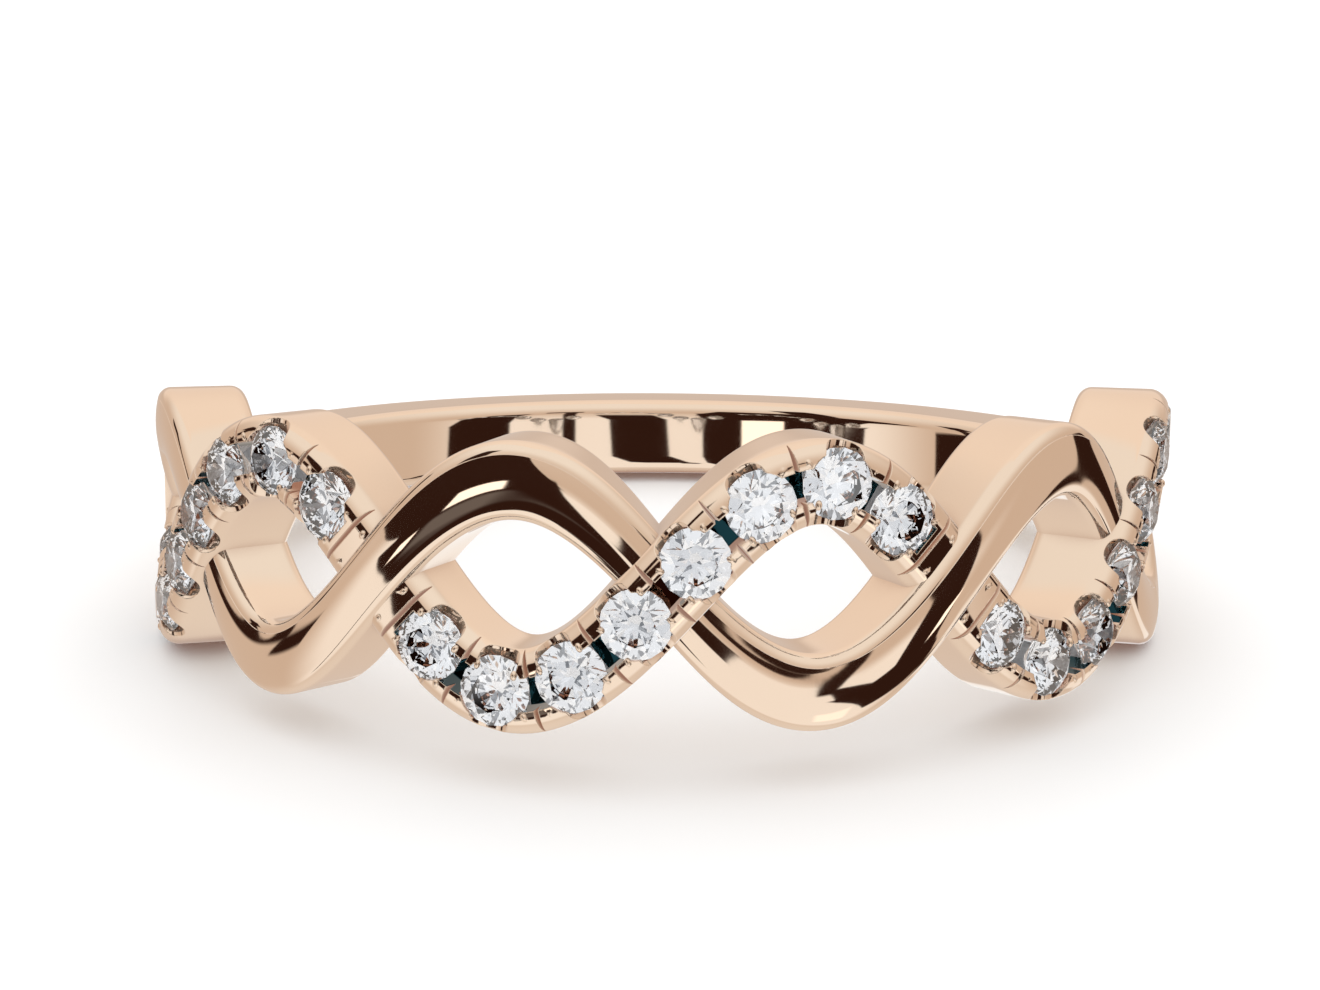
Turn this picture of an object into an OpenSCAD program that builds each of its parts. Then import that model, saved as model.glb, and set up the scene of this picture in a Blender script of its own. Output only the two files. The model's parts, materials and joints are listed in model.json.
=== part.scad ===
// Infinity ring: two strands woven over the front half of a finger ring, one plain and polished,
// one set with round brilliants, joined by a plain shank. All sizes are in millimetres.
//
// The ring is drawn around its own axis, which is Z, with the front of the ring towards -Y.
// A place on it is given by its angle from the front, its height and its radius. The ring is
// then laid down the way it rests by itself: on one loop at each side and on the back of the shank.

/* [Finger hole and shank] */
// Diameter of the finger hole
bore_d = 17.2; // [14:0.1:22]
// Thickness of the shank, from the hole to its outside
shank_t = 1.73; // [1.4:0.05:2.4]
// Height of the shank along the finger
shank_h = 1.8; // [1.5:0.02:3]
// Rounding of the edges next to the finger
comfort_r = 0.3; // [0.1:0.02:0.45]
// Rounding of the edges on the outside
edge_r = 0.12; // [0.05:0.01:0.2]

/* [Woven strands] */
// Height of a strand's middle above or below the ring's middle at the crest of a loop
weave_reach = 1.85; // [1.5:0.05:2.3]
// How far a strand rises where it crosses over, and dips where it passes under
weave_lift = 0.12; // [0.02:0.01:0.15]
// Angle over which the last loops run into the shank
blend_angle = 20; // [14:1:30]
// Width of the plain strand at the crest of a loop
plain_w = 1.38; // [1.1:0.02:1.6]
// Width of the plain strand where it crosses the other
plain_neck_w = 1.12; // [0.9:0.02:1.5]
// Rounded shoulder at both sides of the plain strand's face
shoulder_r = 0.27; // [0.1:0.01:0.35]
// Thickness of the plain strand, from the hole to the top of its dome
plain_t = 1.77; // [1.4:0.01:2.2]
// Height of the dome between the shoulders of the plain strand
dome_h = 0.05; // [0.03:0.01:0.2]
// Thickness of the set strand, from the hole to the tops of its claws
set_t = 1.83; // [1.6:0.01:2.4]
// Slope at both outer edges of the set strand, outside its claws
rim_r = 0.26; // [0.12:0.01:0.35]

/* [Stones] */
// Diameter of a stone
stone_d = 1.2; // [1:0.01:1.35]
// Table width as a share of the stone's diameter
table_share = 0.57; // [0.5:0.01:0.65]
// Crown height as a share of the stone's diameter
crown_share = 0.15; // [0.1:0.01:0.17]
// Girdle thickness as a share of the stone's diameter
girdle_share = 0.03; // [0.02:0.005:0.05]
// Pavilion depth as a share of the stone's diameter
pavilion_share = 0.42; // [0.38:0.01:0.45]
// Way along the strand from a crossing to the nearest stone's middle, where the stones stop
end_room = 1.61; // [1.3:0.01:1.9]

/* [Setting] */
// Gap between a stone and the metal
stone_gap = 0.02; // [0.01:0.005:0.05]
// Metal beside a stone, on each side of the strand
rail_w = 0.15; // [0.1:0.01:0.3]
// How far the claws stand above the girdle of a stone
claw_h = 0.16; // [0.14:0.01:0.22]
// Width of the channel between the claw bars
channel_w = 0.58; // [0.4:0.02:0.8]
// Depth of the channel below the tops of the claws
channel_depth = 0.58; // [0.4:0.02:0.8]
// Radius of the round cut in the side walls beside a stone
scallop_r = 0.37; // [0.25:0.01:0.45]
// Width of the notch that splits a claw bar
notch_w = 0.09; // [0.04:0.01:0.15]
// Depth of the notch that splits a claw bar
notch_depth = 0.3; // [0.1:0.02:0.5]

/* [Hidden] */
// Smallest overlap and overrun between shapes that are joined or cut
overlap = 0.03;
// Loops that each strand makes over the front half of the ring
loops = 6;
// Stones between two places where the set strand passes under
stones_a_run = 8;
runs = loops / 2;
loop_angle = 180 / loops;
last_crest = 90 - loop_angle / 2;
// Sections of a strand over one loop, how far they crowd towards its crest, where it turns
// sharpest, and sections from the last crest to the shank
loop_steps = 8;
crest_crowd = 0.4;
blend_steps = 6;
// Share of the way from the last crest into the shank at which the shank's own body begins
shank_from = 0.65;
// Share of a stone's radius at which its lower girdle facets end
lower_share = 0.23;
// How far the shape that cuts the channel stands above the claws
channel_over = 0.24;
// A stone nearer to a crossing than this angle has the other strand beside it
crossing_reach = loop_angle / 6;
// Angles that may touch the floor: to each side of a last crest, and from there round the back
crest_reach = 12;
back_from = 120;
// Times that the ring is set down again on the three lowest points, until it lies still
settle_steps = 6;

bore_r = bore_d / 2;
shank_r = bore_r + shank_t;
plain_r = bore_r + plain_t;
set_r = bore_r + set_t;
girdle_r = set_r - claw_h;
// Each body starts at a radius of its own inside the finger hole, which is cut last
set_start_r = bore_r - 8 * overlap;
plain_start_r = bore_r - 6 * overlap;
shank_start_r = bore_r - 4 * overlap;
set_w = stone_d + 2 * rail_w;
head_w = 2 * weave_reach + max(set_w, plain_w);

SET = 1;
PLAIN = -1;

// Width of a strand at an angle. The plain one narrows towards its crossings.
function strand_w(strand, a) =
    strand == SET ? set_w
    : plain_neck_w + (plain_w - plain_neck_w) * pow(sin(loops * min(abs(a), last_crest)), 2);

// Where a strand ends inside the shank, its outer edge lies just under the shank's edge
function end_height(strand) = shank_h / 2 - overlap - strand_w(strand, last_crest) / 2;

// Share of the way from the last crest into the shank, running smoothly from 0 to 1
function blend(a) = (1 - cos(180 * min(max(abs(a) - last_crest, 0) / blend_angle, 1))) / 2;

// Height of a strand's middle at an angle: a wave, then a smooth way into the shank
function middle_z(strand, a) =
    abs(a) <= last_crest ? strand * weave_reach * sin(loops * a)
    : strand * sign(a) * sin(loops * last_crest)
        * (weave_reach + (end_height(strand) - weave_reach) * blend(a));

// Angle at which a strand climbs, measured on the ring's outside
function climb(strand, a) =
    let (d = 0.05)
    atan2(middle_z(strand, a + d) - middle_z(strand, a - d), set_r * 2 * d * PI / 180);

// Rise of a strand's outside: up where it crosses over, down where it passes under,
// and down again where it ends inside the shank
function rise(strand, a) =
    abs(a) <= last_crest ? strand * weave_lift * cos(loops * a)
    : (shank_r - edge_r - overlap - bore_r - (strand == SET ? set_t : plain_t - dome_h)) * blend(a);

// A point on a strand, u to the side of its middle and r from the ring's axis
function strand_point(strand, a, u, r) =
    let (c = climb(strand, a), b = a - u * sin(c) / set_r * 180 / PI)
    [r * sin(b), -r * cos(b), middle_z(strand, a) + u * cos(c)];

// A quarter round from straight up to straight across, as [across, up] shares of its radius
function quarter(n) = [for (i = [0 : n]) [1 - cos(90 * i / n), sin(90 * i / n)]];

// Half of a section as [half width, radius], from the finger side outwards. It starts inside the
// finger hole, at a radius of its own, and runs straight out past the wall of the hole. Its outer
// edge is rounded up to the crease, and a dome may rise from there.
function half_section(half_w, start_r, crease_r, top_r, round_r, round_steps, dome_steps) =
    let (inner_w = half_w - comfort_r, inner_r = bore_r + overlap)
    concat(
        [[inner_w, start_r], [inner_w, inner_r]],
        [for (i = [1 : 3]) let (q = quarter(3)[i])
            [inner_w + comfort_r * q[1], inner_r + comfort_r * q[0]]],
        [for (q = quarter(round_steps))
            [half_w - round_r * q[0], crease_r - round_r + round_r * q[1]]],
        [for (i = [1 : 1 : dome_steps]) let (s = i / (dome_steps + 1))
            [(half_w - round_r) * (1 - s), crease_r + (top_r - crease_r) * (1 - pow(1 - s, 2))]]);

// Full section as [u, radius], anticlockwise with the outside of the ring up
function section(half_w, start_r, crease_r, top_r, round_r, round_steps, dome_steps) =
    let (h = half_section(half_w, start_r, crease_r, top_r, round_r, round_steps, dome_steps),
        last = len(h) - 1)
    concat(h, dome_steps > 0 ? [[0, top_r]] : [], [for (i = [last : -1 : 0]) [-h[i][0], h[i][1]]]);

function strand_section(strand, a) =
    let (half_w = strand_w(strand, a) / 2, up = rise(strand, a))
    strand == SET ? section(half_w, set_start_r, set_r + up, set_r + up,
        round_r = rim_r, round_steps = 1, dome_steps = 0)
    : section(half_w, plain_start_r, plain_r - dome_h + up, plain_r + up,
        round_r = shoulder_r, round_steps = 3, dome_steps = 1);

// Joins a row of rings of points into one closed solid
module loft(rings) {
    n = len(rings[0]);
    last = len(rings) - 1;
    polyhedron(
        points = [for (ring = rings, p = ring) p],
        faces = concat(
            [[for (k = [0 : n - 1]) k]],
            [[for (k = [n - 1 : -1 : 0]) last * n + k]],
            [for (i = [0 : last - 1], k = [0 : n - 1]) let (m = (k + 1) % n)
                [i * n + k, (i + 1) * n + k, i * n + m]],
            [for (i = [0 : last - 1], k = [0 : n - 1]) let (m = (k + 1) % n)
                [i * n + m, (i + 1) * n + k, (i + 1) * n + m]]));
}

// Angles of a strand's sections on the right of the ring, and then on both sides.
// The set strand ends a little further into the shank than the plain one.
right_stations = concat(
    [for (t = [loop_angle / loop_steps : loop_angle / loop_steps : last_crest])
        t + crest_crowd * sin(2 * loops * t) / (2 * loops) * 180 / PI],
    [for (i = [1 : blend_steps]) last_crest + blend_angle * i / blend_steps]);
stations = concat(
    [for (i = [len(right_stations) - 1 : -1 : 0]) -right_stations[i]], [0], right_stations);
function own_stations(strand) =
    strand == PLAIN ? stations
    : concat([-last_crest - blend_angle - 1], stations, [last_crest + blend_angle + 1]);

module strand(strand) {
    loft([for (a = own_stations(strand))
        [for (p = strand_section(strand, a)) strand_point(strand, a, p[0], p[1])]]);
}

// Walks along the set strand from an angle over a length and gives the angle it reaches
function walk(a, left) =
    let (d = 0.5, way = sign(left) * d,
        piece = norm([set_r * d * PI / 180, middle_z(SET, a + way) - middle_z(SET, a)]))
    piece >= abs(left) ? a + way * abs(left) / piece : walk(a + way, left - sign(left) * piece);

// Length of the set strand from a run's middle to where it passes under
function half_run(a, end) =
    a >= end ? 0
    : norm([set_r * PI / 180, middle_z(SET, a + 1) - middle_z(SET, a)]) + half_run(a + 1, end);

stone_pitch = 2 * (half_run(0, loop_angle) - end_room) / (stones_a_run - 1);
run_middles = [for (i = [0 : runs - 1]) (i - (runs - 1) / 2) * 2 * loop_angle];
stone_angles = [for (m = run_middles, i = [0 : stones_a_run - 1])
    walk(m, (i - (stones_a_run - 1) / 2) * stone_pitch)];
bar_angles = [for (m = run_middles, i = [1 : stones_a_run - 1])
    walk(m, (i - stones_a_run / 2) * stone_pitch)];

// Puts a shape on the set strand: its Z points away from the finger and its X runs along the strand
module on_strand(a, r) {
    rotate([0, 0, a]) translate([0, -r - rise(SET, a), middle_z(SET, a)])
        rotate([90, 0, 0]) rotate([0, 0, climb(SET, a)]) children();
}

stone_r = stone_d / 2;
table_r = stone_r * table_share;
crown_h = stone_d * crown_share;
girdle_h = stone_d * girdle_share;
pavilion_h = stone_d * pavilion_share;
// Outer points of the star facets, in the planes of the main crown facets
star_r = (table_r * cos(22.5) + stone_r) / 2;
star_z = crown_h * (stone_r - star_r * cos(22.5)) / (stone_r - table_r);
// Inner points of the lower girdle facets, in the planes of the pavilion mains
lower_r = stone_r * lower_share;
lower_z = -girdle_h - pavilion_h * (1 - lower_r * cos(22.5) / stone_r);

function ring_points(n, r, z, turn) =
    [for (k = [0 : n - 1]) [r * cos(360 * k / n + turn), r * sin(360 * k / n + turn), z]];

// A round brilliant of 57 facets, the top of its girdle at height 0
module brilliant() {
    table = 0;
    star = 8;
    upper = 16;
    lower = 32;
    inner = 48;
    culet = 56;
    polyhedron(
        points = concat(
            ring_points(8, table_r, crown_h, 0), ring_points(8, star_r, star_z, 22.5),
            ring_points(16, stone_r, 0, 0), ring_points(16, stone_r, -girdle_h, 0),
            ring_points(8, lower_r, lower_z, 22.5), [[0, 0, -girdle_h - pavilion_h]]),
        faces = concat(
            [[for (k = [7 : -1 : 0]) table + k]],
            [for (k = [0 : 7]) [table + k, table + (k + 1) % 8, star + k]],
            [for (k = [0 : 7]) [table + k, star + k, upper + 2 * k, star + (k + 7) % 8]],
            [for (k = [0 : 7]) [star + k, upper + 2 * k + 1, upper + 2 * k]],
            [for (k = [0 : 7]) [star + k, upper + (2 * k + 2) % 16, upper + 2 * k + 1]],
            [for (k = [0 : 15]) [upper + k, upper + (k + 1) % 16, lower + (k + 1) % 16, lower + k]],
            [for (k = [0 : 7]) [inner + k, lower + 2 * k, lower + 2 * k + 1]],
            [for (k = [0 : 7]) [inner + k, lower + 2 * k + 1, lower + (2 * k + 2) % 16]],
            [for (k = [0 : 7]) [culet, inner + (k + 7) % 8, lower + 2 * k, inner + k]]));
}

// The room that a stone takes in the metal, with its gap all round
module seat() {
    rotate_extrude($fn = 16) polygon([
        [0, -girdle_h - pavilion_h - 2 * stone_gap], [stone_r + stone_gap, -girdle_h - stone_gap],
        [stone_r + stone_gap, stone_gap], [star_r + stone_gap, star_z + stone_gap],
        [star_r + stone_gap, 2 * claw_h], [0, 2 * claw_h]]);
}

// The round cut through both side walls beside a stone. Next to a crossing it stops at the walls.
module scallop(a) {
    beside_crossing = min([for (m = run_middles) abs(a - m)]) < crossing_reach;
    length = set_w + 2 * (beside_crossing ? overlap / 2 : rail_w);
    rotate([90, 0, 0]) cylinder(r = scallop_r, h = length, center = true, $fn = 16);
}

// The narrow notch across the strand that splits the bars at both sides
module notch() {
    rotate([90, 0, 0]) linear_extrude(height = set_w + 2 * overlap, center = true)
        polygon([[-notch_w / 2, overlap], [notch_w / 2, overlap], [0, -notch_depth]]);
}

// The channel along a run of stones, from just past its first stone to just past its last
module channel(m) {
    reach = stone_pitch * (stones_a_run - 1) / 2 + stone_r;
    from = walk(m, -reach);
    to = walk(m, reach);
    between = [for (a = stations) if (a > from && a < to) a];
    loft([for (a = concat([from], between, [to])) let (up = rise(SET, a))
        [for (p = [[channel_w / 2, set_r - channel_depth], [channel_w / 2, set_r + channel_over],
            [-channel_w / 2, set_r + channel_over], [-channel_w / 2, set_r - channel_depth]])
            strand_point(SET, a, p[0], p[1] + up)]]);
}

module setting_cuts() {
    for (m = run_middles) channel(m);
    for (a = stone_angles) {
        on_strand(a, girdle_r) seat();
        on_strand(a, set_r) scallop(a);
    }
    for (a = bar_angles) on_strand(a, set_r) notch();
}

// Both strands and their settings, held at the head's full width
module woven_head() {
    resize([0, 0, head_w]) difference() {
        union() {
            strand(PLAIN);
            strand(SET);
        }
        setting_cuts();
    }
}

// The plain back half. Its ends lie inside the strands.
module shank() {
    turn = 90 - (last_crest + blend_angle * shank_from);
    outline = section(shank_h / 2, shank_start_r, shank_r, shank_r,
        round_r = edge_r, round_steps = 2, dome_steps = 0);
    rotate([0, 0, -turn]) rotate_extrude(angle = 180 + 2 * turn, $fn = 180)
        polygon([for (p = outline) [p[1], p[0]]]);
}

// Points on the underside that can touch the floor: the bottom of the loop at each side, where the
// plain strand is lowest on the right and the set strand on the left, and the back of the shank
inner_edge_r = bore_r + overlap + comfort_r;
function under_loop(strand, side) = [
    for (a = [last_crest - crest_reach : 1 : last_crest + crest_reach],
        r = [inner_edge_r, strand == SET ? set_r - scallop_r : plain_r - dome_h - shoulder_r])
        strand_point(strand, side * a, -strand_w(strand, a) / 2, r)];
under_back = [for (a = [back_from : 5 : 360 - back_from], r = [inner_edge_r, shank_r - edge_r])
    [r * sin(a), -r * cos(a), -shank_h / 2]];

function lowest(points, slope) =
    let (h = [for (p = points) p[2] - slope[0] * p[0] - slope[1] * p[1]])
    points[search(min(h), h)[0]];

// Slope of the floor against the ring, found by letting the ring settle on three points
function settle(n, slope) =
    n == 0 ? slope
    : let (p = lowest(under_loop(SET, -1), slope), q = lowest(under_loop(PLAIN, 1), slope),
        s = lowest(under_back, slope), f = cross(q - p, s - p))
    settle(n - 1, [-f[0] / f[2], -f[1] / f[2]]);

floor_slope = settle(settle_steps, [0, 0]);
pitch = atan2(-floor_slope[1], 1);
roll = atan2(floor_slope[0], sqrt(1 + pow(floor_slope[1], 2)));
foot = lowest(under_back, floor_slope);
rest_h = (floor_slope[0] * foot[0] + floor_slope[1] * foot[1] - foot[2])
    / norm([floor_slope[0], floor_slope[1], 1]);
echo(rest_h = rest_h, pitch = pitch, roll = roll, stone_pitch = stone_pitch);

// Lays the ring down on the floor, its middle above the origin
module at_rest() {
    translate([0, 0, rest_h]) rotate([pitch, roll, 0]) children();
}

function stone_name(i) = str("stone_", i < 10 ? "0" : "", i);

// The whole metal body, cast in one: the shank and the woven head, with the finger hole through both
module band() {
    color("#e3b795") at_rest() difference() {
        union() {
            shank();
            woven_head();
        }
        cylinder(r = bore_r, h = 2 * head_w, center = true, $fn = 180);
    }
}

// One stone of the row, counted from the left end
module stone(i) {
    color("#e8eef2") at_rest() on_strand(stone_angles[i - 1], girdle_r) brilliant();
}

band();
for (i = [1 : runs * stones_a_run]) stone(i);
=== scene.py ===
# %% [markdown]
# # An infinity ring in rose gold, set with small brilliants
#
# The ring has two strands that weave through each other over its front half. One is plain and
# polished, the other carries 24 round brilliants in three runs. A plain shank closes the ring at
# the back. Real rings of this kind are cast in one piece, cleaned, set and then polished.
#
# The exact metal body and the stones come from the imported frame. The metal body is faceted, so
# this script models the same body again at the same sizes, with smooth walls and softened edges,
# and puts it in the place of the first one. The stones are copied from the frame's stones.

import json
from math import asin, atan2, cos, degrees, hypot, pi, radians, sin

import bmesh
import bpy
from mathutils import Matrix, Vector


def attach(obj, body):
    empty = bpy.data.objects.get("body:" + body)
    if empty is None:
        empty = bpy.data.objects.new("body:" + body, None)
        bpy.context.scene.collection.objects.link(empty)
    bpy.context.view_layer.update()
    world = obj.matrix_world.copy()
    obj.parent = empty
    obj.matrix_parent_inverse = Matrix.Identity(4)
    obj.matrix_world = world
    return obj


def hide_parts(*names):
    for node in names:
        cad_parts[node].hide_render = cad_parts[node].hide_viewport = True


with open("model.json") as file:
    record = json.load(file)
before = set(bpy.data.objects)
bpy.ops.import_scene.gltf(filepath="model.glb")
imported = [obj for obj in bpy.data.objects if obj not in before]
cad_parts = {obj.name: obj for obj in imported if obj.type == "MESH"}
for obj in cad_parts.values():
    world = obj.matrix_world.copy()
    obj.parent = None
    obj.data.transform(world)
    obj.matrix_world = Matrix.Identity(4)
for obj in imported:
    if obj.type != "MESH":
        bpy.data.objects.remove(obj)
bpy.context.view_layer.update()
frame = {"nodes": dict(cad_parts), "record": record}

# %% [markdown]
# ## How the ring lies
#
# The ring is easiest to model round its own axis, in millimetres, with its front towards -Y. The
# frame gives the finger hole's radius, its middle and its axis as the ring rests on the floor. One
# matrix then lays each finished mesh down and turns millimetres into metres.

# %% The finger hole and the resting place
hole = next(m for m in frame["record"]["mounts"] if m["name"] == "finger_hole")
bore_r = hole["dims"]["r_mm"]
axis = Vector(hole["axis"])
pitch = -asin(axis.y)
roll = atan2(axis.x, axis.z)
turned = Matrix.Rotation(roll, 4, "Y") @ Matrix.Rotation(pitch, 4, "X")
middle = Vector(hole["pos_m"])
laid_down = Matrix.Translation(middle) @ turned @ Matrix.Scale(0.001, 4)
print(f"hole {2 * bore_r:.1f} mm, pitch {degrees(pitch):.2f}, roll {degrees(roll):.2f} degrees")

# %% [markdown]
# ## The sizes of the weave
#
# These are the sizes that a goldsmith would put on the drawing: the shank, the two strands, the
# stones and the small cuts of the setting. They are in millimetres and repeat the CAD model's,
# but for two: rim_r is a round edge where the CAD model has a small flat one, and stone_swell
# enlarges the stones a little, to the size that they seem to have in the picture.

# %% Sizes in millimetres
shank_t = 1.73
shank_h = 1.8
comfort_r = 0.3
edge_r = 0.12
weave_reach = 1.85
weave_lift = 0.12
blend_angle = 20
plain_w = 1.38
plain_neck_w = 1.12
shoulder_r = 0.27
plain_t = 1.77
dome_h = 0.05
set_t = 1.83
rim_r = 0.4
stone_d = 1.2
girdle_share = 0.03
pavilion_share = 0.42
end_room = 1.61
stone_gap = 0.02
stone_swell = 1.055
rail_w = 0.15
claw_h = 0.16
channel_w = 0.58
channel_depth = 0.58
scallop_r = 0.37
notch_w = 0.09
notch_depth = 0.3
loops = 6
stones_a_run = 8
overlap = 0.03
turn_step = 0.4
shank_step = 0.75
inside_step = 0.006

shank_r = bore_r + shank_t
plain_r = bore_r + plain_t
set_r = bore_r + set_t
set_w = stone_d + 2 * rail_w
girdle_r = set_r - claw_h
last_crest = 90 - 90 / loops
loop_angle = 180 / loops
run_middles = (-2 * loop_angle, 0, 2 * loop_angle)

# %% [markdown]
# ## The path of a strand
#
# Seen unrolled, each strand is a wave round the front half of the ring. After the last crest it
# runs smoothly into the shank. The set strand starts the wave one way and the plain strand the
# other, so they cross every half wave. Where one crosses over it rises a little, and the other
# dips. Small functions of the angle say all of this, so every piece can follow them.

# %% The weave as functions of the angle
SET, PLAIN = 1, -1


def strand_w(strand, a):
    """Width of a strand. The plain one narrows towards its crossings."""
    if strand == SET:
        return set_w
    swell = sin(radians(loops * min(abs(a), last_crest))) ** 2
    return plain_neck_w + (plain_w - plain_neck_w) * swell


def blend(a):
    """0 up to the last crest, then smoothly to 1 where the strand ends in the shank."""
    return (1 - cos(pi * min(max(abs(a) - last_crest, 0) / blend_angle, 1))) / 2


def middle_z(strand, a):
    """Height of a strand's middle."""
    if abs(a) <= last_crest:
        return strand * weave_reach * sin(radians(loops * a))
    side = strand * sin(radians(loops * last_crest)) * (1 if a > 0 else -1)
    end_height = shank_h / 2 - overlap - strand_w(strand, last_crest) / 2
    return side * (weave_reach + (end_height - weave_reach) * blend(a))


def climb(strand, a):
    """Angle at which a strand climbs, in radians."""
    d = 0.05
    return atan2(middle_z(strand, a + d) - middle_z(strand, a - d), set_r * radians(2 * d))


def rise(strand, a):
    """How far a strand's outside stands over its usual radius."""
    if abs(a) <= last_crest:
        return strand * weave_lift * cos(radians(loops * a))
    top = set_t if strand == SET else plain_t - dome_h
    return (shank_r - edge_r - overlap - bore_r - top) * blend(a)


def strand_point(strand, a, u, r):
    """The place u to the side of a strand's middle and r from the ring's axis."""
    c = climb(strand, a)
    b = radians(a) - u * sin(c) / set_r
    return Vector((r * sin(b), -r * cos(b), middle_z(strand, a) + u * cos(c)))


def walk(a, left):
    """The angle that is reached by walking a length along the set strand."""
    step = 0.5
    while True:
        way = step if left > 0 else -step
        piece = hypot(set_r * radians(step), middle_z(SET, a + way) - middle_z(SET, a))
        if piece >= abs(left):
            return a + way * abs(left) / piece
        a, left = a + way, left - piece * (1 if left > 0 else -1)


# %% Places of the stones and of the bars between them
half_run = sum(
    hypot(set_r * radians(1), middle_z(SET, a + 1) - middle_z(SET, a)) for a in range(int(loop_angle)))
stone_pitch = 2 * (half_run - end_room) / (stones_a_run - 1)
stone_angles = {m: [walk(m, (i - (stones_a_run - 1) / 2) * stone_pitch) for i in range(stones_a_run)]
                for m in run_middles}
bar_angles = {m: [walk(m, (i - stones_a_run / 2) * stone_pitch) for i in range(stones_a_run + 1)]
              for m in run_middles}
print(f"{sum(map(len, stone_angles.values()))} stones, {stone_pitch:.3f} mm apart")

# %% [markdown]
# ## Sections
#
# A section is drawn as points u, r: u across the strand, r away from the finger. All three start
# with the same comfort edge, a wide rounding next to the finger. The shank ends in a flat outside
# with slightly eased edges. The plain strand has round shoulders that run into a gently domed
# face, with one fine line above it. Round stretches come from one formula, so they can be as fine
# as needed.

# %% Half sections and how they are closed


def quarter(n, turn=pi / 2):
    """A quarter round, or less, from straight up to straight across, as shares of its radius."""
    return [(1 - cos(turn * i / n), sin(turn * i / n)) for i in range(n + 1)]


def closed_section(half_w, wall_r, crease_r, top_r, round_r, steps, dome_steps, line=0.0):
    """A section of a strand or shank with a dome between its edges. Its rounded edges run into
    the dome without a step, and a fine line may be cut where the upper one meets it."""
    inner = half_w - comfort_r
    half = [(inner * i / 4, wall_r) for i in range(1, 4)]
    half += [(inner + comfort_r * up, wall_r + comfort_r * side) for side, up in quarter(steps)]
    low, high = wall_r + comfort_r, crease_r - round_r
    half += [(half_w, low + (high - low) * i / 6) for i in range(1, 6)]
    slope = atan2(2 * (top_r - crease_r), half_w - round_r)
    half += [(half_w - round_r * side, high + round_r * up)
             for side, up in quarter(steps, pi / 2 - slope)]
    end_u, end_r = half[-1]
    dome = [(end_u * (1 - s), end_r + (top_r - end_r) * (1 - (1 - s) ** 2))
            for s in (i / dome_steps for i in range(1, dome_steps))]
    cut = [(end_u - line / 2, end_r - line / 2), (end_u - line, end_r + line * slope)] if line else []
    lower = [(-u, r) for u, r in reversed(half + dome)]
    return [(0, wall_r)] + half + cut + dome + [(0, top_r)] + lower


# %% [markdown]
# ## Sweeping a section round the ring
#
# In Blender a section can follow a path as a curve's bevel, or it can be spun and then bent. A
# bevelled curve twists at tight bends and hides its vertices from later cuts. So the section is
# spun round the finger's axis in fine steps, which gives a plain hoop, and each of its points is
# then moved to its place on the weave.

# %% Spin a section and weave the hoop


def spun(outline, a_from, a_to, step):
    """A closed hoop: the outline spun from one angle to another, its ends filled."""
    bm = bmesh.new()
    ring = [bm.verts.new((0, -r, u)) for u, r in outline]
    edges = [bm.edges.new((p, q)) for p, q in zip(ring, ring[1:] + ring[:1])]
    bmesh.ops.rotate(bm, verts=ring, cent=(0, 0, 0), matrix=Matrix.Rotation(radians(a_from), 3, "Z"))
    bmesh.ops.spin(bm, geom=ring + edges, angle=radians(a_to - a_from), axis=(0, 0, 1), cent=(0, 0, 0),
                   steps=round((a_to - a_from) / step))
    bmesh.ops.holes_fill(bm, edges=[e for e in bm.edges if e.is_boundary])
    bmesh.ops.recalc_face_normals(bm, faces=bm.faces)
    return bm


def woven(bm, strand, slimming=0.0):
    """Moves each point of a hoop to its place on the weave. A strand that is slimmer than its
    section is narrowed at its flat stretches, so its rounded edges keep their size."""
    full_w = plain_w if strand == PLAIN else set_w
    round_r = max(shoulder_r, comfort_r)
    for v in bm.verts:
        a = degrees(atan2(v.co.x, -v.co.y))
        r = hypot(v.co.x, v.co.y)
        u = v.co.z
        less = slimming * (full_w - strand_w(strand, a)) / 2
        flat = full_w / 2 - round_r
        share = min(abs(u) / flat, 1)
        u -= less * share * (1 if u > 0 else -1)
        low, high = bore_r + comfort_r, plain_r - dome_h - shoulder_r
        up = rise(strand, a) * min(max((r - low) / (high - low), 0), 1)
        v.co = strand_point(strand, a, u, r + up)
    return bm


# %% [markdown]
# ## From a bmesh to a finished piece
#
# A piece is finished when its modifiers are applied, its place is in its mesh and it rides on the
# ring's body. Sharp creases stay sharp, and everything flatter than that is shaded smooth.

# %% Helpers for objects, modifiers and pieces


def as_object(bm, name):
    mesh = bpy.data.meshes.new(name)
    bm.to_mesh(mesh)
    bm.free()
    obj = bpy.data.objects.new(name, mesh)
    bpy.context.scene.collection.objects.link(obj)
    return obj


def with_modifiers_applied(obj):
    """The object with its modifiers worked into its mesh."""
    shown = obj.evaluated_get(bpy.context.evaluated_depsgraph_get())
    obj.data = bpy.data.meshes.new_from_object(shown)
    obj.modifiers.clear()
    return obj


def smooth_below(mesh, crease_angle):
    """Shades smooth, with a sharp line wherever two faces meet at more than the angle."""
    bm = bmesh.new()
    bm.from_mesh(mesh)
    for face in bm.faces:
        face.smooth = True
    for edge in bm.edges:
        edge.smooth = edge.calc_face_angle(pi) < radians(crease_angle)
    bm.to_mesh(mesh)
    bm.free()


def finished(obj, material, crease_angle=180):
    """Lays a piece down with the ring, gives it its metal and hangs it on the body. Mirrored rays
    pass it by, for the reason that the studio cell gives."""
    obj.data.transform(laid_down)
    smooth_below(obj.data, crease_angle)
    obj.data.materials.clear()
    obj.data.materials.append(material)
    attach(obj, "root")
    obj.visible_glossy = False
    triangles = sum(len(p.vertices) - 2 for p in obj.data.polygons)
    print(f"{obj.name}: {triangles} triangles")
    return obj


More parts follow.
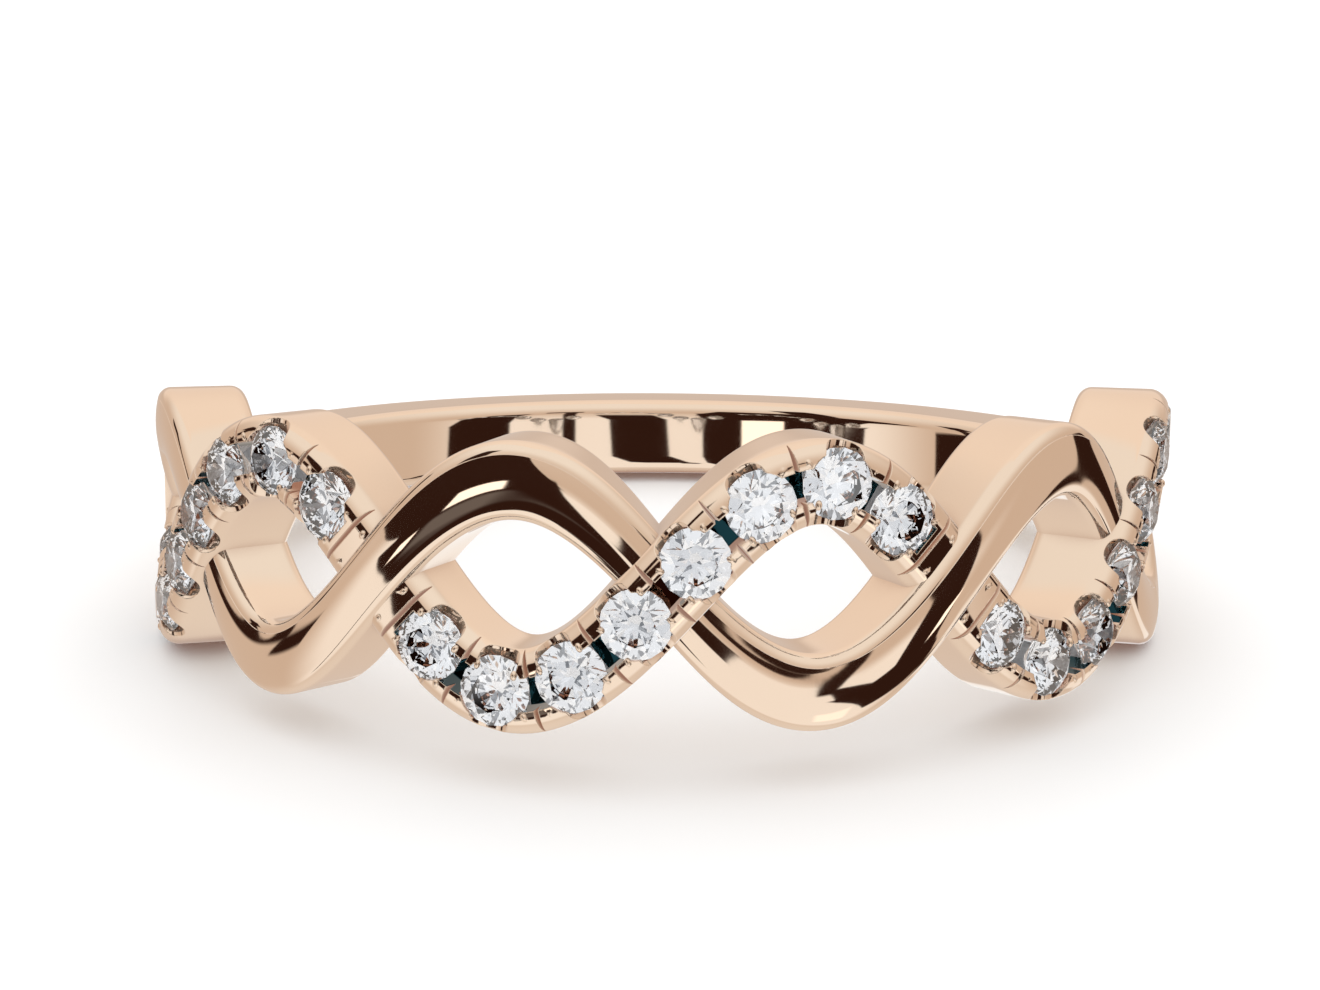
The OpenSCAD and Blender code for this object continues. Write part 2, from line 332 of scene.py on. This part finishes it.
# %% [markdown]
# ## Shader sums as Python
#
# A node tree is easier to read as sums. One small class wraps a socket: its operators add Math
# nodes, and its `of` method makes any other node from a type, its settings and its inputs.

# %% A socket that can be reckoned with


class Value:
    """The output of a node, to be used in sums and as the input of other nodes."""

    def __init__(self, tree, socket):
        self.tree, self.socket = tree, socket

    @classmethod
    def of(cls, tree, kind, settings=None, inputs=None, out=0):
        node = tree.nodes.new("ShaderNode" + kind)
        for name, setting in (settings or {}).items():
            setattr(node, name, setting)
        for name, value in (inputs or {}).items():
            if isinstance(value, Value):
                tree.links.new(value.socket, node.inputs[name])
            else:
                node.inputs[name].default_value = value
        return cls(tree, node.outputs[out])

    def sum(self, operation, first, second):
        return Value.of(self.tree, "Math", {"operation": operation}, {0: first, 1: second})

    def __add__(self, other):
        return self.sum("ADD", self, other)

    __radd__ = __add__

    def __mul__(self, other):
        return self.sum("MULTIPLY", self, other)

    __rmul__ = __mul__

    def __rsub__(self, other):
        return self.sum("SUBTRACT", other, self)

    def smooth(self, low, high):
        """0 below low, 1 above high, and smooth between. Low may be the larger one."""
        return Value.of(self.tree, "MapRange", {"interpolation_type": "SMOOTHSTEP"},
                        {0: self, 1: low, 2: high, 3: 0.0, 4: 1.0})


def mix_colours(tree, share, first, second):
    return Value.of(tree, "Mix", {"data_type": "RGBA"}, {0: share, 6: first, 7: second}, out=2)


def new_material(name, **constants):
    """A material with a Principled shader, whose plain numbers are set on its own sockets."""
    material = bpy.data.materials.new(name)
    material.use_nodes = True
    shader = material.node_tree.nodes["Principled BSDF"]
    for socket, number in constants.items():
        shader.inputs[socket.replace("_", " ")].default_value = number
    return material, material.node_tree, shader


# %% [markdown]
# ## Polished rose gold
#
# Rose gold is gold with copper. Polished, it is a coloured mirror: pale beige where it reflects a
# white room, and deep brown where it reflects dark. In narrow corners light bounces more than
# once and comes back redder. Here that is painted: an Ambient Occlusion node finds those corners,
# and the base colour is painted darker and redder there as painted shade. The colour drifts very
# slightly, and the polish leaves a faint grain that only shows in the roughness and in a bump of
# less than a micrometre.
#
# The setting has two painted marks, which its faces carry as attributes. The seats under the
# stones are painted a bright, non-metal grey, as painted light that lights the stones from below.
# The gaps between the stones are painted nearly black, as painted shade of deep cuts.

# %% Rose gold material
GOLD_PALE = (0.93, 0.75, 0.59, 1)
GOLD_WARM = (0.91, 0.72, 0.56, 1)
GAP_PAINTED_SHADE = (0.01, 0.04, 0.05, 1)
SEAT_PAINTED_LIGHT = (0.8, 0.81, 0.83, 1)
GOLD_PAINTED_CORNER_SHADE = (0.34, 0.14, 0.08, 1)
close_by = 0.0007
soft_edge = 0.00003


def rose_gold(name, soft_edges=False):
    """Polished rose gold. For the setting, its sharp edges are rounded by shading."""
    material, tree, shader = new_material(name)
    place = Value.of(tree, "TexCoord", out="Object")
    drift = Value.of(tree, "TexNoise", None, {"Vector": place, "Scale": 180.0, "Detail": 2.0})
    colour = mix_colours(tree, drift.smooth(0.35, 0.65), GOLD_PALE, GOLD_WARM)
    openness = Value.of(tree, "AmbientOcclusion", {"samples": 8}, {"Distance": close_by}, out="AO")
    # Painted shade: corners that the Ambient Occlusion node finds are painted darker and redder.
    colour = mix_colours(tree, openness.smooth(0.05, 0.75), GOLD_PAINTED_CORNER_SHADE, colour)
    under, between = (Value.of(tree, "Attribute", {"attribute_name": mark}, out="Fac")
                      for mark in ("seat", "gap"))
    # Painted light: the seats under the stones are painted a bright grey that lights the stones.
    colour = mix_colours(tree, under, colour, SEAT_PAINTED_LIGHT)
    # Painted shade: the gaps between the stones are painted nearly black.
    colour = mix_colours(tree, between, colour, GAP_PAINTED_SHADE)
    grain = Value.of(tree, "TexNoise", None, {"Vector": place, "Scale": 9000.0, "Detail": 3.0})
    rough = 0.015 + 0.03 * drift + 0.02 * grain
    bump = Value.of(tree, "Bump", None, {"Height": grain, "Strength": 0.15, "Distance": 0.0000005})
    if soft_edges:
        rounded = Value.of(tree, "Bevel", {"samples": 6}, {"Radius": soft_edge})
        tree.links.new(rounded.socket, bump.socket.node.inputs["Normal"])
    tree.links.new(colour.socket, shader.inputs["Base Color"])
    # The seats with painted light are not metal, so they stay bright grey.
    tree.links.new((1 - under).socket, shader.inputs["Metallic"])
    tree.links.new(rough.socket, shader.inputs["Roughness"])
    tree.links.new(bump.socket, shader.inputs["Normal"])
    return material


gold = rose_gold("rose_gold_polished")
gold_set = rose_gold("rose_gold_set", soft_edges=True)
print(f"{gold_set.name}: {len(gold_set.node_tree.nodes)} nodes")

# %% [markdown]
# ## The shank
#
# The shank is the plain back half. Its section is spun round the back, and its ends reach into
# the strands, which hide them, so that the joint is closed from every side.

# %% Shank
joint_share = 0.65
shank_from = last_crest + joint_share * blend_angle
shank_outline = closed_section(shank_h / 2, bore_r, shank_r, shank_r, edge_r, steps=8, dome_steps=3)
shank = as_object(spun(shank_outline, shank_from, 360 - shank_from, shank_step), "shank")
finished(shank, gold, crease_angle=30)

# %% [markdown]
# ## The plain strand
#
# The plain strand is one sweep along its wave, and it is narrower where it crosses. Only its fine
# line is kept sharp. Where it passes under a run of stones, it loses some metal to their seats, so
# it is finished after the cutters of the setting have been made.

# %% Plain strand
plain_end = last_crest + blend_angle
fine_line = 0.014
plain_outline = closed_section(plain_w / 2, bore_r, plain_r - dome_h, plain_r, shoulder_r,
                               steps=12, dome_steps=8, line=fine_line)
plain_hoop = spun(plain_outline, -plain_end, plain_end, turn_step)
plain = as_object(woven(plain_hoop, PLAIN, slimming=1.0), "plain_strand")
print(f"plain strand: {2 * plain_end} degrees round, {len(plain.data.vertices)} vertices")

# %% [markdown]
# ## The set strand and its setting
#
# A setter cuts the seats, the round scallops, the channel and the fine notches out of a plain
# strand with burs and gravers. The same is done here: each run of the strand is swept, and one
# cutter after another is taken away from it with Boolean modifiers. The cuts leave hard edges. On
# a real ring polishing softens them. Fine voxels would round them too, but they turn the mirror
# of the metal restless, so the cuts stay crisp and the material rounds their edges by shading.

# %% Cutters of the setting


def on_strand(a, r):
    """The place on the set strand where Z points away from the finger and X runs along it."""
    return (Matrix.Rotation(radians(a), 4, "Z")
            @ Matrix.Translation((0, -r - rise(SET, a), middle_z(SET, a)))
            @ Matrix.Rotation(pi / 2, 4, "X") @ Matrix.Rotation(climb(SET, a), 4, "Z"))


claw_over = 0.06
tip_w = 0.12
tip_long = 0.18
tip_h = 0.13
tip_x = 0.24
tip_y = 0.37
tip_down = 0.05
tip_lean = radians(20)
stone_r = stone_d / 2
girdle_h = stone_d * girdle_share
pavilion_h = stone_d * pavilion_share
notch_tip = 0.004
channel_over = 0.24


def add_seat(bm):
    """The room of a stone: a cone for its back, and a throat that the claws reach over."""
    wide = stone_swell * stone_r + stone_gap
    throat = wide - claw_over
    profile = [(0, -girdle_h - pavilion_h - 2 * stone_gap), (wide, -girdle_h - stone_gap),
               (wide, stone_gap), (throat, 2 * stone_gap), (throat, 2 * claw_h), (0, 2 * claw_h)]
    points = [bm.verts.new((x, 0, z)) for x, z in profile]
    edges = [bm.edges.new(pair) for pair in zip(points, points[1:])]
    bmesh.ops.spin(bm, geom=points + edges, angle=2 * pi, steps=40, axis=(0, 0, 1),
                   cent=(0, 0, 0), use_merge=True)
    bmesh.ops.remove_doubles(bm, verts=bm.verts, dist=0.0001)


def add_scallop(bm):
    """A round cut across both side walls."""
    bmesh.ops.create_cone(bm, cap_ends=True, segments=48, radius1=scallop_r, radius2=scallop_r,
                          depth=set_w + 2 * rail_w, matrix=Matrix.Rotation(pi / 2, 4, "X"))


def add_notch(bm):
    """A narrow V across the strand."""
    width = set_w + 4 * overlap
    for v in bmesh.ops.create_cube(bm, size=1)["verts"]:
        deep = v.co.z < 0
        v.co = (notch_tip * (1 if v.co.x > 0 else -1) if deep else v.co.x * notch_w,
                v.co.y * width, -notch_depth if deep else overlap)


def add_claw_tips(bm):
    """The four round tips of a pair of bars, pressed over the edges of the stones beside them."""
    shape = Matrix.Diagonal((tip_w / 2, tip_long / 2, tip_h / 2, 1))
    for x in (-tip_x, tip_x):
        for y in (-tip_y, tip_y):
            lean = Matrix.Rotation(tip_lean * (1 if x * y > 0 else -1), 4, "Z")
            bmesh.ops.create_uvsphere(bm, u_segments=20, v_segments=12, radius=1,
                                      matrix=Matrix.Translation((x, y, -tip_down)) @ lean @ shape)


def set_out(add, angles, r):
    """The same shape at many places of the set strand, as one mesh."""
    row = bmesh.new()
    for a in angles:
        one = bmesh.new()
        add(one)
        bmesh.ops.recalc_face_normals(one, faces=one.faces)
        bmesh.ops.transform(one, matrix=on_strand(a, r), verts=one.verts)
        mesh = bpy.data.meshes.new("one")
        one.to_mesh(mesh)
        row.from_mesh(mesh)
        bpy.data.meshes.remove(mesh)
        one.free()
    return row


def channel(m):
    """The channel between the bars, from the first stone of a run to its last."""
    reach = stone_pitch * (stones_a_run - 1) / 2 + stone_r
    low, high = set_r - channel_depth, set_r + channel_over
    outline = [(channel_w / 2, low), (channel_w / 2, high), (-channel_w / 2, high), (-channel_w / 2, low)]
    return woven(spun(outline, walk(m, -reach), walk(m, reach), turn_step), SET)


# %% Cut each run
recess_half = 0.5
seat_half = 0.48
recess_from, recess_to = 0.12, 0.9


def work(obj, shape, operation="DIFFERENCE"):
    """Takes a shape away from an object, or joins it on."""
    tool = as_object(shape, "tool")
    boolean = obj.modifiers.new("work", "BOOLEAN")
    boolean.operation = operation
    boolean.solver = "MANIFOLD"
    boolean.object = tool
    with_modifiers_applied(obj)
    bpy.data.objects.remove(tool)


def mark_recesses(mesh, m):
    """Marks the faces under the stones, and those of the gaps between the stones."""
    last = stones_a_run - 1
    seats = [(a, i, on_strand(a, set_r).inverted()) for i, a in enumerate(stone_angles[m])]
    # The seat marks carry painted light and the gap marks carry painted shade in the setting's gold.
    marks = {"seat": [], "gap": []}
    for face in mesh.polygons:
        a = degrees(atan2(face.center.x, -face.center.y))
        _, i, to_seat = min(seats, key=lambda seat: abs(seat[0] - a))
        here = to_seat @ face.center
        away = hypot(here.x, here.y)
        deep = -recess_to < here.z < -recess_from and abs(here.y) < recess_half and away < stone_pitch
        marks["seat"].append(1.0 if deep and away < seat_half else 0.0)
        past_the_run = (here.x if i == last else -here.x if i == 0 else 0) > stone_r
        between = deep and abs(here.y) < (channel_w + stone_gap) / 2 and not past_the_run
        marks["gap"].append(1.0 if between and away >= seat_half else 0.0)
    for name, shares in marks.items():
        mesh.attributes.new(name, "FLOAT", "FACE").data.foreach_set("value", shares)


def set_run(name, m, a_from, a_to):
    """A third of the set strand, with all the cuts of its setting."""
    outline = closed_section(set_w / 2, bore_r + inside_step, set_r, set_r, rim_r, steps=14, dome_steps=3)
    run = as_object(woven(spun(outline, a_from, a_to, turn_step), SET), name)
    work(run, channel(m))
    work(run, set_out(add_seat, stone_angles[m], girdle_r))
    work(run, set_out(add_scallop, stone_angles[m], set_r))
    work(run, set_out(add_notch, bar_angles[m], set_r))
    work(run, set_out(add_claw_tips, bar_angles[m], set_r), "UNION")
    mark_recesses(run.data, m)
    return finished(run, gold_set, crease_angle=32)


for m in run_middles:
    work(plain, channel(m))
    work(plain, set_out(add_seat, stone_angles[m], girdle_r))
finished(plain, gold, crease_angle=16)

end_over = 1
set_end = last_crest + blend_angle + end_over
set_run("set_strand_left", run_middles[0], -set_end, -loop_angle)
middle_run = set_run("set_strand_middle", run_middles[1], -loop_angle, loop_angle)
set_run("set_strand_right", run_middles[2], loop_angle, set_end)
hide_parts("band")

# %% [markdown]
# ## The brilliants
#
# A brilliant bends light strongly and throws it back through its facets, so it looks like a star
# of white, grey and near-black shards. The facets are real geometry in the frame's stones. Each
# stone here is a copy of one of them, merged into one clean mesh and enlarged about its girdle,
# and a clear material with the refraction of diamond does the rest.

# %% Brilliant material
CLEAR_COOL = (0.97, 0.98, 1.0, 1)
CLEAR_WARM = (1.0, 0.985, 0.97, 1)
stone_nodes = {name: node for name, node in frame["nodes"].items() if name.startswith("stone")}


def middle_of(mesh):
    """The middle of a mesh's vertices."""
    return sum((v.co for v in mesh.vertices), Vector()) / len(mesh.vertices)


def brilliant():
    """Clear, with the refraction of diamond, and a tint that drifts very slightly."""
    material, tree, shader = new_material(
        "brilliant_clear", Roughness=0.0, IOR=2.42, Transmission_Weight=1.0)
    place = Value.of(tree, "TexCoord", out="Object")
    haze = Value.of(tree, "TexNoise", None, {"Vector": place, "Scale": 1200.0, "Detail": 1.0})
    colour = mix_colours(tree, haze, CLEAR_COOL, CLEAR_WARM)
    tree.links.new(colour.socket, shader.inputs["Base Color"])
    return material


clear = brilliant()

# %% Copies of the stones
for m in run_middles:
    for a in stone_angles[m]:
        seat = laid_down @ on_strand(a, girdle_r)
        name = min(stone_nodes, key=lambda n: (middle_of(stone_nodes[n].data) - seat.translation).length)
        bm = bmesh.new()
        bm.from_mesh(stone_nodes.pop(name).data)
        bmesh.ops.remove_doubles(bm, verts=bm.verts, dist=0.000001)
        bmesh.ops.scale(bm, vec=[stone_swell] * 3, space=seat.inverted(), verts=bm.verts)
        bmesh.ops.dissolve_limit(bm, angle_limit=radians(0.5), verts=bm.verts, edges=bm.edges)
        stone = as_object(bm, "brilliant_" + name[-2:])
        stone.data.materials.append(clear)
        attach(stone, "root")
        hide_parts(name)
print(f"{len(stone_nodes)} of the frame's stones left without a copy")

# %% [markdown]
# ## Studio
#
# Polished metal shows its surroundings more than itself, so the surroundings are part of the look.
# The picture was made in a bright room with dark boards round it. A sky shader paints that room
# for the rays that metal mirrors. The angles of the boards follow from the places on the strands
# where light turns to dark. The picture doesn't mirror the ring in itself, so the gold is hidden
# from those rays too. The stones see the same boards in neutral tones, and the camera sees white.

# %% Room
DARK = (0.03, 0.012, 0.008, 1)
WHITE = (0.99, 0.99, 0.99, 1)
CEILING = (0.93, 0.93, 0.92, 1)
BACK = (0.98, 0.88, 0.8, 1)
HORIZON = (0.67, 0.565, 0.49, 1)
WINDOW = (1.6, 1.5, 1.42, 1)
AROUND = (1.25, 1.25, 1.25, 1)
STONE_LIGHT = (0.98, 1.01, 1.05, 1)
STONE_DARK = (0.3, 0.32, 0.35, 1)

world = bpy.data.worlds.new("room")
bpy.context.scene.world = world
world.use_nodes = True
room = world.node_tree
look = Value.of(room, "TexCoord", out="Generated")
split = room.nodes.new("ShaderNodeSeparateXYZ")
room.links.new(look.socket, split.inputs[0])
look_x, look_y, look_z = (Value(room, socket) for socket in split.outputs)
side = Value.of(room, "Math", {"operation": "ARCTAN2"}, {0: look_x, 1: -1 * look_y}) * (180 / pi)
height = Value.of(room, "Math", {"operation": "ARCSINE"}, {0: look_z}) * (180 / pi)


def card(side_from, side_to, low, high, lean=0.0, lean_to=None, soft=1.0, soft_up=3.0):
    """A board on the room's wall: degrees to the side of the front, and degrees of height. Its left
    edge may lean, so many degrees to the side for each degree of height, and its right edge too."""
    left = side + lean * height if lean else side
    right = left if lean_to is None else side + lean_to * height
    across = left.smooth(side_from - soft, side_from) * right.smooth(side_to + soft, side_to)
    return across * height.smooth(low - soft_up, low) * height.smooth(high + soft_up, high)


def either(masks):
    """1 where at least one of the masks is 1."""
    none = 1.0
    for mask in masks:
        none = none * (1 - mask)
    return 1 - none


fronts = [card(-62, 48, -50, -3, soft=32, soft_up=12), card(-18, 30, -30, 0, soft=4),
          card(90, 140, -38, -26, soft=4), card(158, 181, -36, -22, soft=4)]
back = either([side.smooth(125, 150), side.smooth(-125, -150)]) * height.smooth(3, 13)
tone = mix_colours(room, either([height.smooth(8, 62), height.smooth(-20, -80) * 0.6]), HORIZON, CEILING)
tone = mix_colours(room, back * 0.7, tone, BACK)
tone = mix_colours(room, either(fronts), tone, WHITE)
left_doors = [card(-58, -44, 21, 46, soft=2, soft_up=3), card(-57, -10, 5, 23, lean_to=0.4, soft_up=2),
              card(-57, -13.6, -6, 7, lean_to=-0.26),
              card(-69, -13.6, -30, -4, lean=1.25, lean_to=-0.26, soft_up=1.5),
              card(-64, -40, -6, 25, lean=2.5, lean_to=0.0)
              * card(-107, -40, -6, 25, lean=-2.7, lean_to=0.0),
              card(17, 22.5, -44, -31, lean=-1.8)]
middle_doors = [card(-2, 14.5, -10.5, 3.5, lean=-1.0, soft_up=1.5),
                card(-12, -7.5, -14.5, -10, soft_up=1)]
right_doors = [card(45, 61.5, -15, 13, lean=0.36, lean_to=0.68, soft_up=2),
               card(10.4, 61.5, -30, -15, lean=1.3, lean_to=0.68, soft_up=1.5),
               card(25.5, 28.5, -6, 14), card(25.5, 23.2, -16, -5, lean=0.4, lean_to=1.3, soft_up=1),
               card(24, 35, 15.5, 19.5, soft_up=1), card(81, 96, -35, -31, soft_up=1.5)]
side_strips = [card(-110, -101, 16, 25, soft=2), card(-106, -102, -5, 15), card(-102, -90, -11, -6),
               card(110, 122, -22, 5)]
windows = either([card(-37.5, -25.5, -7, -0.5, soft_up=1), card(-48, -43.5, -14.5, -10.5, soft_up=1),
                  card(67, 72.5, -19.5, -14.5, soft_up=1),
                  card(28, 40, -33, -27, soft=3, soft_up=2) * 0.5,
                  card(-38, -26, -18, -11, soft=4) * 0.12])
dark = either([*left_doors, *middle_doors, *right_doors, *side_strips]) * (1 - windows)
for_metal = mix_colours(room, dark, mix_colours(room, windows, tone, WINDOW), DARK)

# %% Who sees which room
for_stones = mix_colours(room, dark, STONE_LIGHT, STONE_DARK)
ray = room.nodes.new("ShaderNodeLightPath")
through = Value(room, ray.outputs["Is Transmission Ray"])
mirrored = Value(room, ray.outputs["Is Glossy Ray"])
shown = mix_colours(room, mirrored, AROUND, for_metal)
shown = mix_colours(room, through, shown, for_stones)
room.links.new(shown.socket, room.nodes["Background"].inputs["Color"])
room.nodes["Background"].inputs["Strength"].default_value = 1.0
print(f"room: {len(room.nodes)} nodes")

# %% Floor
FLOOR_WHITE = (0.93, 0.93, 0.93, 1)
floor_half = 0.6
bm = bmesh.new()
bmesh.ops.create_grid(bm, x_segments=1, y_segments=1, size=floor_half)
floor = as_object(bm, "floor")
floor_white, _, floor_shader = new_material("floor_white", Roughness=0.6)
floor_shader.inputs["Base Color"].default_value = FLOOR_WHITE
floor.data.materials.append(floor_white)
floor.visible_glossy = False

# %% Lights


def softbox(name, place, aim, size, watts):
    light = bpy.data.lights.new(name, "AREA")
    light.shape = "RECTANGLE"
    light.size, light.size_y = size
    light.energy = watts
    lamp = bpy.data.objects.new(name, light)
    lamp.location = place
    lamp.rotation_euler = (Vector(aim) - Vector(place)).to_track_quat("-Z", "Y").to_euler()
    lamp.visible_glossy = False
    bpy.context.scene.collection.objects.link(lamp)


softbox("softbox_top", (-0.03, 0.02, 0.16), middle, (0.12, 0.1), watts=0.01)
print("one softbox, very weak: nearly all the light comes from the room")

# %% [markdown]
# ## Camera
#
# The camera stands where the photograph was taken from. Its distance, its height over the plane
# of the ring and its focal length were found from the round outlines of the ring in the picture:
# they only fit for one place.

# %% Camera
camera_distance = 52.6
camera_up = radians(9.353)
camera_side = radians(0.58)
camera_roll = radians(0.36)
focal_px, picture_px = 2500, 1320

place = camera_distance * Vector((-cos(camera_up) * sin(camera_side), -cos(camera_up) * cos(camera_side),
                                  sin(camera_up)))
ahead = -place.normalized()
right = ahead.cross(Vector((0, 0, 1))).normalized()
above = right.cross(ahead)
right, above = (cos(camera_roll) * right + sin(camera_roll) * above,
                cos(camera_roll) * above - sin(camera_roll) * right)
camera = bpy.data.cameras.new("camera")
camera.sensor_width = 36
camera.lens = focal_px / picture_px * camera.sensor_width
camera.clip_start = 0.001
camera_object = bpy.data.objects.new("camera", camera)
facing = Matrix((right, above, -ahead)).transposed().to_4x4()
camera_object.matrix_world = Matrix.Translation(laid_down @ place) @ turned @ facing
bpy.context.scene.collection.objects.link(camera_object)
bpy.context.scene.camera = camera_object
bpy.context.scene.view_settings.view_transform = "Standard"
print(f"lens {camera.lens:.1f} mm")
